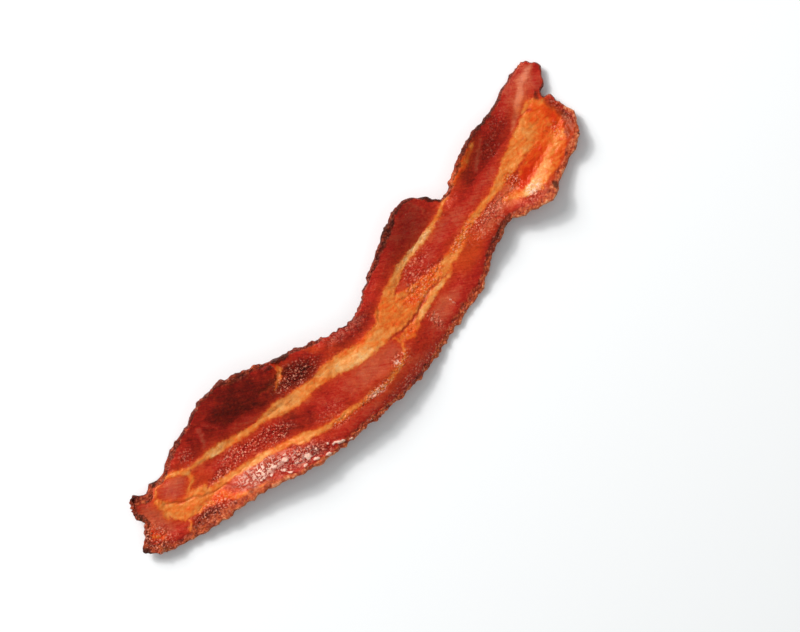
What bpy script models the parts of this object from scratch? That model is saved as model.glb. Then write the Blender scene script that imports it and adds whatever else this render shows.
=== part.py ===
"""Fried bacon strip: one thin slice of streaky bacon, bowed to one side, with curled, ruffled edges.

The strip lies on a flat surface. +X runs along it, +Y points to the edge with the tall lean
ruffles, +Z is up, and the origin is on the surface under the middle of the strip's box.
Lengths in the tables are millimetres. `across` is 0 on the strip's middle line, +1 on its +Y
edge and -1 on its -Y edge.
"""

from collections import namedtuple

import bmesh
import bpy
import numpy as np

MM = 0.001

NAME = "bacon_strip"
THICKNESS = 2.6
RUFFLE = 0.55  # how far the small ruffles move each long edge, in plan and in height
RUFFLE_PITCHES = (9.5, 14.0)
RUFFLE_HINGE = 0.55  # where across the ruffles' rise and fall starts
RUFFLE_SHIFT = 2.5  # how far along the strip a ruffle's rise is from its outward swing
NOMINAL_ENDS = (-92.0, 88.0)  # where the end edges' own shapes start from
END_REACH = 16.0  # how far in from an end its shape is felt

# The two long edges seen from above, as (x, y).
PLUS_Y_EDGE = (
    (-92, 6.6), (-89, 8.8), (-86, 5.8), (-83, 7.0), (-79, 6.1), (-71, 9.3), (-62, 10.3),
    (-51, 12.4), (-38, 9.2), (-30, 5.2), (-19, 0.0), (-4, -5.6), (14, 0.9), (24, 4.7), (33, 6.6),
    (37, 5.6), (43, -1.8), (52, 1.2), (64, 4.4), (70, 4.6), (78, 5.7), (82, 6.9), (88, 7.8),
)
MINUS_Y_EDGE = (
    (-92, -10.9), (-80, -15.8), (-62, -20.0), (-42, -28.2), (-20, -31.8), (-4, -33.7),
    (18, -31.3), (31, -29.8), (43, -24.3), (52, -22.3), (64, -27.2), (76, -24.2), (88, -20.6),
)
# The two ends seen from above, as (across, x): a knob, a notch and a torn tip.
LOW_X_END = (
    (-1, -94.2), (-0.7, -96.8), (-0.36, -98.8), (0, -94.9), (0.34, -91.8), (0.6, -93.2),
    (0.85, -91.9), (1, -90.4),
)
HIGH_X_END = (
    (-1, 86.5), (-0.8, 88.8), (-0.62, 90.4), (-0.2, 89.9), (0.06, 89.2), (0.2, 87.6), (0.3, 89.8),
    (0.42, 92.2), (0.6, 93.6), (0.75, 93.9), (0.9, 92.2), (1, 90.0),
)

# A bump along the strip: its crest's x, how far it reaches each way, and its height.
Bump = namedtuple("Bump", "x before after height")
# Waves lift the whole width, above the surface that the strip lies on.
WAVES = (
    Bump(-97, 4, 14, 3.2),
    Bump(-11, 46, 34, 6.6),
    Bump(46, 18, 20, 3.4),
    Bump(93, 14, 4, 1.6),
)
# Curls raise one edge, or with a negative height let it droop. The narrowest is a pleat between two lobes.
PLUS_Y_CURLS = (
    Bump(-89, 5, 8, 2.4),
    Bump(-46, 31, 25, 9.5),
    Bump(-30, 4, 4, -2.6),
    Bump(-23, 7, 9, 3.0),
    Bump(-7, 12, 10, -1.0),
    Bump(31, 28, 13, 8.0),
    Bump(61, 17, 25, 6.0),
)
MINUS_Y_CURLS = (
    Bump(-52, 46, 23, 5.6),
    Bump(-5, 26, 34, -3.4),
    Bump(64, 15, 18, 5.8),
    Bump(86, 15, 8, 3.2),
)
PLUS_Y_HINGES = ((-30, 0.15), (12, 0.4))  # where across a curl starts, as (x, across)
MINUS_Y_HINGE = 0.4
CURL_POWER = 1.25  # 1 is a flat slope, 2 a trough

CAGE_ALONG = 66
CAGE_ACROSS = 8
SMOOTHING_LEVELS = 1

LEAN_COLOUR = (0.33, 0.055, 0.025, 1.0)
LEAN_ROUGHNESS = 0.38


def smooth_curve(knots):
    """A smooth function of x through the knots, level-headed between them (cubic Hermite)."""
    xs, ys = np.array(knots, float).T
    slopes = np.gradient(ys, xs)

    def at(x):
        x = np.clip(x, xs[0], xs[-1])
        i = np.clip(np.searchsorted(xs, x) - 1, 0, len(xs) - 2)
        span = xs[i + 1] - xs[i]
        t = (x - xs[i]) / span
        rise = 3 * t**2 - 2 * t**3
        return (
            ys[i] * (1 - rise)
            + ys[i + 1] * rise
            + slopes[i] * span * t * (1 - t) ** 2
            - slopes[i + 1] * span * t**2 * (1 - t)
        )

    return at


def bumps_at(bumps, x):
    """The bumps' heights added up at x. Each is a raised cosine, with its own reach on either side."""
    total = np.zeros_like(x)
    for bump in bumps:
        reach = np.where(x < bump.x, bump.before, bump.after)
        phase = np.clip((x - bump.x) / reach, -1, 1)
        total += bump.height * (1 + np.cos(np.pi * phase)) / 2
    return total


def curl_share(across, hinge):
    """How much of a curl's height is felt here: none inside the hinge, all at the edge."""
    return (np.clip((across - hinge) / (1 - hinge), 0, 1)) ** CURL_POWER


def ruffle(x, side):
    """Small uneven waves along a long edge: side is +1 or -1, and each edge has its own."""
    long_pitch, short_pitch = max(RUFFLE_PITCHES), min(RUFFLE_PITCHES)
    long_wave = np.sin(2 * np.pi * (x + 3 * side) / long_pitch)
    short_wave = np.sin(2 * np.pi * (x * side + 2) / short_pitch)
    return RUFFLE * (long_wave + short_wave) / 2


def end_shift(x, across):
    """How far a point moves along X, so that the two ends get their torn shapes."""
    low_x, high_x = NOMINAL_ENDS
    near_low = np.clip(1 - (x - low_x) / END_REACH, 0, 1) ** 2
    near_high = np.clip(1 - (high_x - x) / END_REACH, 0, 1) ** 2
    return near_low * (smooth_curve(LOW_X_END)(across) - low_x) + near_high * (
        smooth_curve(HIGH_X_END)(across) - high_x
    )


def middle_surface(x, across):
    """The strip's middle surface: arrays of x, y and z, with z measured from what it lies on."""
    plus_y = smooth_curve(PLUS_Y_EDGE)(x) + ruffle(x, 1)
    minus_y = smooth_curve(MINUS_Y_EDGE)(x) - ruffle(x, -1)
    y = minus_y + (plus_y - minus_y) * (across + 1) / 2
    plus_y_hinge = np.interp(x, *zip(*PLUS_Y_HINGES))
    rise = (
        bumps_at(WAVES, x)
        + bumps_at(PLUS_Y_CURLS, x) * curl_share(across, plus_y_hinge)
        + bumps_at(MINUS_Y_CURLS, x) * curl_share(-across, MINUS_Y_HINGE)
        + ruffle(x - RUFFLE_SHIFT, 1) * curl_share(across, RUFFLE_HINGE)
        + ruffle(x + RUFFLE_SHIFT, -1) * curl_share(-across, RUFFLE_HINGE)
    )
    return x + end_shift(x, across), y, np.maximum(rise, 0) + THICKNESS / 2


def cage_mesh():
    """A flat grid moved onto the middle surface."""
    grid = bmesh.new()
    bmesh.ops.create_grid(grid, x_segments=CAGE_ALONG, y_segments=CAGE_ACROSS, size=1)
    flat = np.array([vertex.co for vertex in grid.verts])
    low_x, high_x = NOMINAL_ENDS
    x = low_x + (high_x - low_x) * (flat[:, 0] + 1) / 2
    for vertex, place in zip(grid.verts, np.transpose(middle_surface(x, flat[:, 1]))):
        vertex.co = place * MM
    bmesh.ops.recalc_face_normals(grid, faces=grid.faces)
    mesh = bpy.data.meshes.new(NAME)
    grid.to_mesh(mesh)
    grid.free()
    return mesh


def fried_lean():
    material = bpy.data.materials.new("fried_lean")
    material.use_nodes = True
    shader = material.node_tree.nodes["Principled BSDF"]
    shader.inputs["Base Color"].default_value = LEAN_COLOUR
    shader.inputs["Roughness"].default_value = LEAN_ROUGHNESS
    shader.inputs["Metallic"].default_value = 0.0
    return material


def stand_on_origin(strip):
    """Moves the cage so that the finished solid's box has its bottom's middle at the origin."""
    bpy.context.view_layer.update()
    solid = strip.evaluated_get(bpy.context.evaluated_depsgraph_get())
    corners = np.array([vertex.co for vertex in solid.to_mesh().vertices])
    solid.to_mesh_clear()
    low, high = corners.min(axis=0), corners.max(axis=0)
    for vertex in strip.data.vertices:
        vertex.co.x -= (low[0] + high[0]) / 2
        vertex.co.y -= (low[1] + high[1]) / 2
        vertex.co.z -= low[2]


def bacon_strip():
    strip = bpy.data.objects.new(NAME, cage_mesh())
    strip.data.materials.append(fried_lean())
    strip.data.shade_smooth()
    slab = strip.modifiers.new("slab", "SOLIDIFY")
    slab.thickness = THICKNESS * MM
    slab.offset = 0
    soft = strip.modifiers.new("soft", "SUBSURF")
    soft.levels = SMOOTHING_LEVELS
    soft.render_levels = SMOOTHING_LEVELS
    return strip


def main():
    for old in list(bpy.data.objects):
        bpy.data.objects.remove(old, do_unlink=True)
    collection = bpy.data.collections.new("fried_bacon_strip")
    bpy.context.scene.collection.children.link(collection)
    strip = bacon_strip()
    collection.objects.link(strip)
    stand_on_origin(strip)


main()
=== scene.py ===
"""The looks of one fried bacon strip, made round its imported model.

The strip is one fine mesh over the CAD solid's own shape. Its marbling is a set of strokes of fat
drawn on the strip's plan. Each stroke's distance decides what is fat and what is lean, and so where
the surface is wrinkled, fibrous, blistered, browned or glossy.
Plan places are millimetres: x runs along the strip and y across it, as in the CAD model's source.
"""

import math
from collections import namedtuple
from types import SimpleNamespace

import bpy
import numpy as np
from mathutils import Matrix, Vector, noise


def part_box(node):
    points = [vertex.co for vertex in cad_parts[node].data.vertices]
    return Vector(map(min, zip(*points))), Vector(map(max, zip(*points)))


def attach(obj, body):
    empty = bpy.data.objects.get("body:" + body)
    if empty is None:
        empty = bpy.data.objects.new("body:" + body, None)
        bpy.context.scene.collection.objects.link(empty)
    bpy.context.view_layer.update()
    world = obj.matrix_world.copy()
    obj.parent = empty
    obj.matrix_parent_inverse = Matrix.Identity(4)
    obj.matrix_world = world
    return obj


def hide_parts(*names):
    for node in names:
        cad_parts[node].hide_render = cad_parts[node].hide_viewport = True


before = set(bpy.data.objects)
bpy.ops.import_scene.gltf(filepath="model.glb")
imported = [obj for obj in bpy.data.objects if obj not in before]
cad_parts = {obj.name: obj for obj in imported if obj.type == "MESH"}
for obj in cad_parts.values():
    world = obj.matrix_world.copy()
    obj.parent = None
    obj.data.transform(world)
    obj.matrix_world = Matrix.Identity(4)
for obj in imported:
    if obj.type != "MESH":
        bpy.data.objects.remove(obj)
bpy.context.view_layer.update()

MM = 0.001
NODE = "bacon_strip"

# The strip's shape, as in the CAD model.
THICKNESS = 2.6
NOMINAL_ENDS = (-92.0, 88.0)
END_REACH = 16.0
PLUS_Y_EDGE = (
    (-92, 6.6), (-89, 8.8), (-86, 5.8), (-83, 7.0), (-79, 6.1), (-71, 9.3), (-62, 10.3),
    (-51, 12.4), (-38, 9.2), (-30, 5.2), (-19, 0.0), (-4, -5.6), (14, 0.9), (24, 4.7), (33, 6.6),
    (37, 5.6), (43, -1.8), (52, 1.2), (64, 4.4), (70, 4.6), (78, 5.7), (82, 6.9), (88, 7.8),
)
MINUS_Y_EDGE = (
    (-92, -10.9), (-80, -15.8), (-62, -20.0), (-42, -28.2), (-20, -31.8), (-4, -33.7),
    (18, -31.3), (31, -29.8), (43, -24.3), (52, -22.3), (64, -27.2), (76, -24.2), (88, -20.6),
)
LOW_X_END = (
    (-1, -94.2), (-0.7, -96.8), (-0.36, -98.8), (0, -94.9), (0.34, -91.8), (0.6, -93.2),
    (0.85, -91.9), (1, -90.4),
)
HIGH_X_END = (
    (-1, 86.5), (-0.8, 88.8), (-0.62, 90.4), (-0.2, 89.9), (0.06, 89.2), (0.2, 87.6), (0.3, 89.8),
    (0.42, 92.2), (0.6, 93.6), (0.75, 93.9), (0.9, 92.2), (1, 90.0),
)
# A bump along the strip: its crest's x, how far it reaches each way, and its height.
Bump = namedtuple("Bump", "x before after height")
WAVES = (
    Bump(-97, 4, 14, 3.2),
    Bump(-11, 46, 34, 6.6),
    Bump(46, 18, 20, 3.4),
    Bump(93, 14, 4, 1.6),
)
PLUS_Y_CURLS = (
    Bump(-89, 5, 8, 2.4),
    Bump(-46, 31, 25, 9.5),
    Bump(-30, 4, 4, -2.6),
    Bump(-23, 7, 9, 3.0),
    Bump(-7, 12, 10, -1.0),
    Bump(31, 28, 13, 8.0),
    Bump(61, 17, 25, 6.0),
)
MINUS_Y_CURLS = (
    Bump(-52, 46, 23, 5.6),
    Bump(-5, 26, 34, -3.4),
    Bump(64, 15, 18, 5.8),
    Bump(86, 15, 8, 3.2),
)
PLUS_Y_HINGES = ((-30, 0.15), (12, 0.4))  # where across a curl starts, as (x, across)
MINUS_Y_HINGE = 0.4
CURL_POWER = 1.25

# The fine mesh: cells along and across the top. The underside has half as many each way.
ALONG = 600
ACROSS = 112
EDGE_STEP = 0.35  # a cell at the rim against one in the middle
EDGE_CELLS = 14  # how many cells it takes to reach full size
RIM_RADIUS = 0.7  # the strip's thickness is rounded off over this width
RIM_SHARE = 0.55  # the rim's thickness against the middle's
TAPER_REACH = 4.5  # how far in from the rim the full thickness is reached
RELIEF_REACH = 0.6  # how far in from the rim the full relief is reached
CORNER_RADIUS = 2.0
RIM_DROP = 0.35  # how much lower the underside's border is than the top's
BAKE_LENGTHS = 3
BAKE_SCALE = 0.0074  # of the bake map's side to a millimetre

# The relief's patterns: their features' size, or (along x, along y), and their height.
Texture = namedtuple("Texture", "size height")
LUMPS = Texture(5.0, 0.3)
WRINKLES = Texture(3.2, 0.34)
FIBRES = Texture((1.2, 3.4), 0.08)
GRAINS = Texture(1.6, 0.22)
CRUMBS = Texture(1.0, 0.38)
WRINKLES_LEVEL = 0.4  # what counts as neither a hill nor a dip
CRUMBS_LEVEL = 0.45
FAT_RISE = 0.08
BLISTER_HEIGHT = 0.55
CREASE_DEPTH = 0.25
TOP_SEED = 11
UNDERSIDE_SEED = 31

# The ragged outline: each kind of crumb's size, how far it pushes the rim out, and its seed.
RAGS = ((4.2, 1.5, 1), (1.7, 1.0, 6))
RAGS_LEVEL = 0.2
RAGS_REACH = 1.6  # how far in from the rim they are felt

# How the marbling wavers: a wave's size, and how far it moves x and y, each with its seed.
Waver = namedtuple("Waver", "size reach_x seed_x reach_y seed_y")
WAVERS = (Waver(4.5, 0.8, 2, 0.5, 3), Waver(1.6, 0.5, 5, 0.5, 4))

# Strokes of fat, as (x, y, half width).
FAT = {
    "upper streak": (
        (-71.5, 1.3, 0.6), (-66, 0.4, 0.7), (-62, -0.6, 1.6), (-58, -1.6, 1.7), (-53, -3.6, 1.3),
        (-47, -5.2, 0.9), (-42, -5.7, 1.5), (-38, -7.0, 2.3), (-34, -8.3, 2.5), (-29, -9.6, 2.1),
        (-24, -10.3, 1.8), (-19, -10.9, 2.5), (-13, -12.9, 2.8), (-7, -15.0, 2.9), (1, -15.5, 3.2),
    ),
    "lower streak": (
        (-85.2, 1.4, 1.2), (-84.4, -2.2, 2.5), (-82, -5.6, 3.1), (-77.5, -7.9, 3.0), (-72, -9.0, 2.1),
        (-65, -9.7, 1.3), (-58, -11.8, 1.3), (-50, -14.4, 1.4), (-44, -16.7, 1.2),
        (-40, -18.9, 1.5), (-35, -21.2, 1.1), (-27, -23.5, 0.9), (-18, -25.3, 0.9),
        (-8, -26.7, 0.7), (-1, -25.6, 0.6), (1.8, -22.5, 0.4), (1.4, -19.8, 0.3),
    ),
    "island's ring": (
        (-84.6, 3.4, 0.5), (-81.5, 4.9, 0.4), (-77, 4.9, 0.8), (-74, 3.2, 0.9), (-71.6, 0.9, 1.2),
        (-72.8, -1.6, 0.6), (-76.5, -3.3, 0.4),
    ),
    "above the crease": ((-80.5, -4.2, 0.6), (-76, -5.0, 1.3), (-71.5, -6.6, 1.2)),
    "wrinkled middle": (
        (1, -15.4, 3.3), (6, -14.8, 4.7), (11, -15.2, 4.4), (16, -15.3, 3.0), (22, -15.9, 2.2),
        (28, -16.5, 1.8),
    ),
    "upper branch": (
        (4, -11.4, 1.6), (8, -10.1, 1.7), (13, -8.0, 1.7), (18, -6.2, 1.4), (24, -5.7, 1.3),
        (32, -5.6, 1.1), (37, -4.9, 0.8), (42, -3.4, 0.6), (46, -1.6, 1.2), (50, -0.4, 1.6),
        (54, 0.5, 1.3), (58, 1.5, 1.1), (61.5, 2.7, 0.5),
    ),
    "pale sliver": (
        (9, -21.5, 0.6), (14, -20.5, 1.0), (20, -19.5, 1.1), (25, -19.3, 0.8), (29, -18.8, 0.3),
    ),
    "blob": ((3.0, -21.5, 1.2), (6.2, -22.0, 2.0), (9.2, -21.6, 1.2)),
    "lower branch": (
        (27, -16.6, 1.8), (33, -16.0, 1.8), (38, -14.8, 1.5), (43, -13.6, 1.1), (49, -13.0, 0.9),
        (55, -12.6, 1.1), (60, -11.9, 1.9), (66, -10.4, 2.9), (72, -9.1, 3.4), (79, -8.2, 4.6),
        (84, -9.2, 3.5),
    ),
    "end's lower lobe": (
        (84, -9, 3.3), (83.2, -14, 3.2), (79.4, -18.0, 3.2), (73.4, -19.9, 3.0), (66, -21.1, 2.6),
        (60.5, -20.0, 1.4), (56, -17, 0.6),
    ),
    "end's top": ((84, -9, 3.4), (84.8, -5.5, 2.1), (83.4, -2.6, 1.3), (79.5, -2.7, 0.5)),
    "red island": ((61.8, -18.6, 1.3), (66.5, -16.7, 2.5), (72, -15.2, 3.1), (78, -13.9, 2.6)),
    "pleat's facet": ((-28.2, 0.8, 1.2), (-30.6, -0.5, 1.0), (-33.8, -2.3, 0.1)),
    "knob's bits": ((-91.4, 3.0, 0.7), (-92.4, -0.8, 0.7), (-93.4, -4.2, 0.9), (-91.4, -7.4, 0.5)),
    "low rim's hook": ((-82.8, -9.4, 0.3), (-84.0, -11.8, 0.5), (-80.8, -14.4, 0.5)),
    "low rim's streak": (
        (-73, -10.6, 2.0), (-70, -12.2, 2.0), (-67.6, -14.8, 1.2), (-63.8, -18.0, 0.7),
        (-57, -20.8, 0.4),
    ),
}

# Soft spots that change a quantity: centre, half length, half width, turn in degrees, amount.
Spot = namedtuple("Spot", "x y long wide turn amount")
SPOT_FADE = (0.35, 1.25)  # where a spot starts to fade and where it ends, in lots of its half size
# How gradually fat turns into lean, as half the change's width in millimetres.
FAT_SOFTNESS = 0.8
SOFTNESS_SPOTS = (
    Spot(72, -16, 13, 5, 14, 0.6),
    Spot(-13, -12, 12, 3, -18, 0.5),
    Spot(-84, -1, 4, 6, 0, 0.4),
    Spot(-70, -13, 6, 6, -40, 0.3),
    Spot(36, -18, 10, 3, 14, 0.6),
    Spot(-78, -3.4, 6, 1.5, -10, 0.5),
)
# 0 is dark maroon lean and 1 is pale pink lean.
LEAN_TONE = 0.47
LEAN_SPOTS = (
    # Lobe A's raised wall, which faces away from the lamp: a deeper maroon, partly its own colour and
    # partly painted shade.
    Spot(-44, 4, 16, 8, -10, -0.28),
    # Below lobe A: partly the lean's own pinker tone and partly a painted sheen.
    Spot(-48, -1.4, 8, 2.2, -18, 0.24),
    Spot(-67, 5.5, 8, 4, 12, -0.12),
    Spot(-27, -3.5, 9, 5, -12, -0.26),
    Spot(-37, -14, 8, 4, -25, -0.2),
    # The crest near x -10: partly a paler, hazy lean and partly a painted soft reflection of the sky.
    Spot(-10, -21, 14, 5, -14, 0.22),
    Spot(-27, -18, 6, 5, -20, 0.1),
    # Painted light: lobe B's raised wall faces away from the lamp, and its lean is painted paler to
    # lift the shade.
    Spot(30, 0.5, 14, 6, 8, 0.07),
    # The raised +Y wall near x 60 faces away from the lamp: darker, partly its own colour and partly
    # painted shade.
    Spot(60, -2, 14, 4, 12, -0.1),
    Spot(28, -9, 14, 4, 4, 0.12),
    Spot(41, -9, 9, 3, 4, 0.1),
    Spot(84, 3.5, 9, 5, 20, 0.22),
    Spot(54, -9, 10, 2.4, 12, 0.1),
    Spot(-6, -7.6, 12, 4, -8, -0.18),
    Spot(86, -16, 3, 5, -20, -0.2),
    Spot(-89, -2, 3.6, 8, 0, 0.28),
    Spot(90, 0, 4, 4, 0, 0.15),
    Spot(48, -17, 8, 3.4, 4, 0.24),
    Spot(19, -24.5, 7, 3.4, 0, 0.26),
    # Painted highlight: pale lean where thin white highlights stand near x 14.
    Spot(14, -25, 2, 4, 0, 0.2),
    Spot(-78, 1, 6, 4, 0, 0.2),
    Spot(-57, -17, 9, 4, -20, -0.16),
    Spot(-78, -13, 7, 3, -14, -0.3),
    Spot(-42, -24, 10, 3, -24, -0.1),
    # Painted light: the -Y band here droops away from the lamp, and its lean is painted paler to lift
    # the shade.
    Spot(-3, -29, 22, 3, 0, 0.08),
    Spot(-57, -6, 10, 3, -14, 0.1),
    Spot(57, -17, 6, 4, 0, 0.3),
    Spot(87.6, -11, 1.6, 7, 0, -0.2),
    Spot(74, -24, 14, 2.4, 6, -0.1),
)
UNDERSIDE_LEAN = -0.08  # how the underside's lean and fat differ from the top's
UNDERSIDE_AMBER = 0.1
# Paler streaks in the lean.
PALE_AMOUNT = 0.3
PALE_EDGE = (-0.3, 1.2)  # their fading edge, as distances from the stroke's own
PALE_LEAN = (
    ((73, -4.4, 0.1), (80, -0.6, 0.6), (86, 3.4, 0.7), (92.5, 5.0, 0.3)),
    ((56, -3.4, 0.2), (61, -0.6, 0.4), (64, 1.4, 0.2)),
    # The next two strokes, on lobe A's wall, are painted highlights.
    ((-62, 2.8, 0.1), (-59, 7.4, 0.3)),
    ((-55, 4.2, 0.1), (-57, 7.6, 0.2)),
    ((-71, 1.5, 0.4), (-65, 0.2, 0.4)),
)
# 0 is pale cream fat, 0.5 orange and 1 a clear red-orange.
FAT_AMBER = 0.42
AMBER_SPOTS = (
    Spot(-78, -7, 9, 4, -30, 0.1),
    Spot(-69, -14, 6, 5, -45, 0.22),
    Spot(8, -14, 9, 6, -10, 0.16),
    Spot(20, -16, 8, 3, 0, 0.2),
    Spot(-12, -14.6, 11, 2.4, -24, -0.26),
    Spot(-9, -11.6, 8, 1.6, -16, 0.14),
    Spot(-61, -1.2, 5, 2, -14, -0.24),
    Spot(-36, -8, 8, 3, -20, -0.1),
    Spot(-55, -13, 9, 1.6, -18, -0.1),
    Spot(-45, -16.5, 6, 1.6, -22, 0.06),
    Spot(27, -5.5, 10, 2.0, 0, -0.4),
    Spot(18, -20, 9, 1.6, 10, -0.2),
    Spot(6, -22, 4, 2, 0, 0.26),
    Spot(52, 0.4, 9, 2.4, 12, 0.3),
    Spot(72, -15.2, 11, 3.4, 14, 0.4),
    Spot(65.6, -17, 4, 2.4, 20, 0.3),
    Spot(64, -18.0, 5, 1.8, 24, 0.4),
    Spot(83, -9, 5, 7, 0, 0.26),
    Spot(85.6, -12, 2.4, 7, 0, 0.25),
    Spot(68, -9, 9, 3, 14, 0.06),
    Spot(39, -14.6, 7, 2, 8, 0.1),
    # Painted highlight: the fat under the highlight near (64, -21) is painted paler.
    Spot(64, -21.4, 4.4, 2.2, 0, -0.55),
    Spot(72, -18.8, 6, 1, 14, -0.06),
    Spot(78, -20.5, 8, 2.2, 14, 0.3),
    Spot(-92, -3, 3, 6, 0, 0.22),
)
# How far lean is stained orange-brown by the fat beside it.
STAIN_SPOTS = (
    Spot(37, -19.5, 8, 4, 18, 0.9),
    Spot(-71, -3.5, 5, 3.5, -10, 0.4),
    Spot(-18, -2.5, 4, 1.2, -65, 0.7),
    Spot(-13, -7, 4, 3, 0, 0.3),
    Spot(60, -17, 6, 4, 0, 0.5),
    Spot(48, -20, 8, 3, 0, 0.4),
    Spot(-89, -2, 3, 5, 0, 0.1),
    Spot(85, -18, 4, 4, -30, 0.6),
    Spot(74, -24, 14, 2.4, 6, 0.5),
    Spot(-77, -4, 7, 1.2, -14, 0.6),
    Spot(-84, 4, 3, 1.5, 40, 0.4),
    Spot(-12, -21, 14, 4, -14, 0.2),
    Spot(19, -24.5, 7, 3.4, 0, 0.2),
    Spot(86.8, -13, 1.6, 7, 0, 0.6),
    Spot(-2, -29, 18, 4, 0, 0.2),
    Spot(82, 1, 10, 3, 20, 0.25),
)
# Burnt brown, over the +Y rim's own thin line.
RIM_CHAR = 0.36
RIM_CHAR_WIDTH = 0.35
BURN_SPOTS = (
    Spot(-26, 2.8, 3.0, 1.4, -20, 0.9),
    Spot(-31, 3.0, 2.5, 1.2, -30, 0.7),
    Spot(-44, 10.5, 13, 1.6, -12, 0.1),
    # The tear's dark spot: char, and painted shade in the tear's hollow.
    Spot(86.6, -2.6, 2.2, 1.2, 40, 0.55),
    Spot(-97.8, -6, 1.6, 2, 0, 0.7),
    Spot(-88.4, 7.6, 1.6, 1.0, 0, 0.4),
    Spot(-91.6, 2.2, 0.7, 0.6, 0, 0.3),
    Spot(-81.5, 6.4, 1.6, 0.8, 0, 0.6),
    Spot(41, 0.5, 4, 0.9, -62, 0.9),
    Spot(22, 4.4, 9, 0.8, 18, 0.5),
    Spot(69.5, -25.6, 1.6, 1.0, 40, 0.8),
    Spot(48, -22, 8, 1.2, 8, 0.5),
    Spot(68, 4, 14, 0.7, 6, 0.4),
)
# The crumbly crust: its width from each rim, and its tone from 0, charred, to 1, pale toasted.
MINUS_Y_CRUST = (2.6, 0.64)
PLUS_Y_CRUST = (0.9, 0.36)
CRUST_TURNS = (-6, -14)  # the y where the one rim's crust gives way to the other's
LEAST_CRUST = 0.5
CRUST_EDGE = 0.35  # the share of the crust's width where it starts to fade inward
CRUST_WAVER = Texture(2.4, 0.3)  # a wave's size, and its height as a share of the crust's width
CRUMB_SPREAD = 0.34  # how far the crumbs' tones differ
CRUMB_GAP_SHADE = 0.1  # painted shade: how much darker it is between the crumbs
RIM_LIGHT_LIFT = 0.3  # painted light: the -Y rim's paler line, which lifts the shade on the rim's side that faces away from the lamp
RIM_LIGHT_LIFT_WIDTH = 0.6
CRUST_WIDTH_SPOTS = (
    Spot(20, 3, 11, 4, 18, 1.9),
    Spot(50, -0.5, 8, 3, 10, 1.0),
    Spot(-37, 7.5, 9, 4, -22, 1.4),
    Spot(-76, 7, 12, 3, 8, 1.9),
    Spot(-95, -5, 6.5, 9, 0, 4.5),
    Spot(-88.5, 5.5, 5, 4, 0, 2.6),
    Spot(-46, -25.5, 17, 4, -24, -1.1),
    Spot(-78, -14, 10, 4, -14, 1.8),
    Spot(-16, 0, 4, 4, -40, 1.6),
    Spot(22, -29, 14, 4, 0, 0.8),
    Spot(88, -12, 3, 9, 0, -0.9),
    Spot(90, 3, 5, 5, 0, -1.2),
)
CRUST_TONE_SPOTS = (
    Spot(-94, -6, 6, 8, 0, 0.16),
    Spot(-88, 5, 5, 4, 0, 0.12),
    Spot(-37, 8, 12, 4, -20, 0.12),
    Spot(-72, -15, 16, 4, -14, -0.04),
    Spot(-10, -31, 30, 4, 0, -0.06),
    Spot(46, -22, 10, 4, 10, -0.16),
    Spot(88.6, -11, 3, 10, 0, 0.14),
    Spot(52, 0, 8, 3, 10, 0.3),
    Spot(-78, 7, 12, 3, 8, 0.14),
    Spot(20, 3, 10, 3, 18, 0.06),
    Spot(90, 3, 5, 6, 0, 0.34),
)
# Fine grain: raised in the relief and glossier, with painted glints on its grains and painted shade
# between them.
GRAIN_SPOTS = (
    Spot(-27, -4, 9, 4.5, -12, 0.8),
    Spot(-57, -7, 8, 3, -14, 1.0),
    Spot(-46, -11, 8, 3.6, -20, 1.0),
    Spot(-65, -7.4, 5, 1.6, -12, 0.9),
    Spot(-74, -13, 9, 3.5, -12, 0.8),
    Spot(-68, 4.4, 3, 3, 0, 0.4),
    Spot(-28, -20, 6, 3, -20, 0.3),
    Spot(-44, -23, 12, 4, -24, 0.7),
    Spot(-28, -24, 5, 1.4, -14, 1.0),
    Spot(22, -9, 9, 3, 0, 0.5),
    Spot(20, -15, 10, 4, 0, 0.7),
    Spot(39, -14.4, 8, 1.6, 8, 0.8),
    Spot(62, -15, 3, 4, 0, 1.0),
    Spot(64, -22, 5, 2.6, 0, 1.0),
    Spot(-14, -26, 10, 1.4, -4, 1.0),
    Spot(-2, -25, 4, 2.4, 0, 0.8),
    Spot(6, -21.6, 5, 1.4, 0, 0.35),
    Spot(29, -5.4, 12, 1.2, 0, 0.45),
    Spot(47, -17.6, 9, 4, 0, 0.5),
    Spot(71, 1, 7, 3, 10, 0.28),
    Spot(83, -15, 2.4, 4, 0, 0.6),
    Spot(14, -25, 2, 4, 0, 1.0),
    Spot(-93, -6, 5, 7, 0, 0.8),
    Spot(89, -12, 1.6, 9, 0, 0.4),
    Spot(-50, -19, 12, 3, -24, 0.3),
    Spot(52, -16, 9, 2.4, -6, 0.8),
    Spot(-3, -31, 30, 2, 0, 0.5),
    Spot(64, -3, 4, 3, 0, 0.34),
)
# Painted sheen: a whitish cream painted where raised fibres and blisters catch the light, standing in
# for their highlights.
PAINTED_SHEEN_SPOTS = (
    Spot(-60, -15.5, 6, 3.4, -20, 0.5),
    Spot(-54, -17.0, 4.4, 2.8, -20, 0.68),
    Spot(64.4, -21.4, 3.4, 1.8, 0, 1.0),
    Spot(-14, -26.2, 4, 1.0, -6, 0.8),
    Spot(-3.6, -25.4, 1.4, 1.2, 0, 0.7),
    Spot(-46, -21, 9, 3, -30, 0.4),
)
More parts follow.
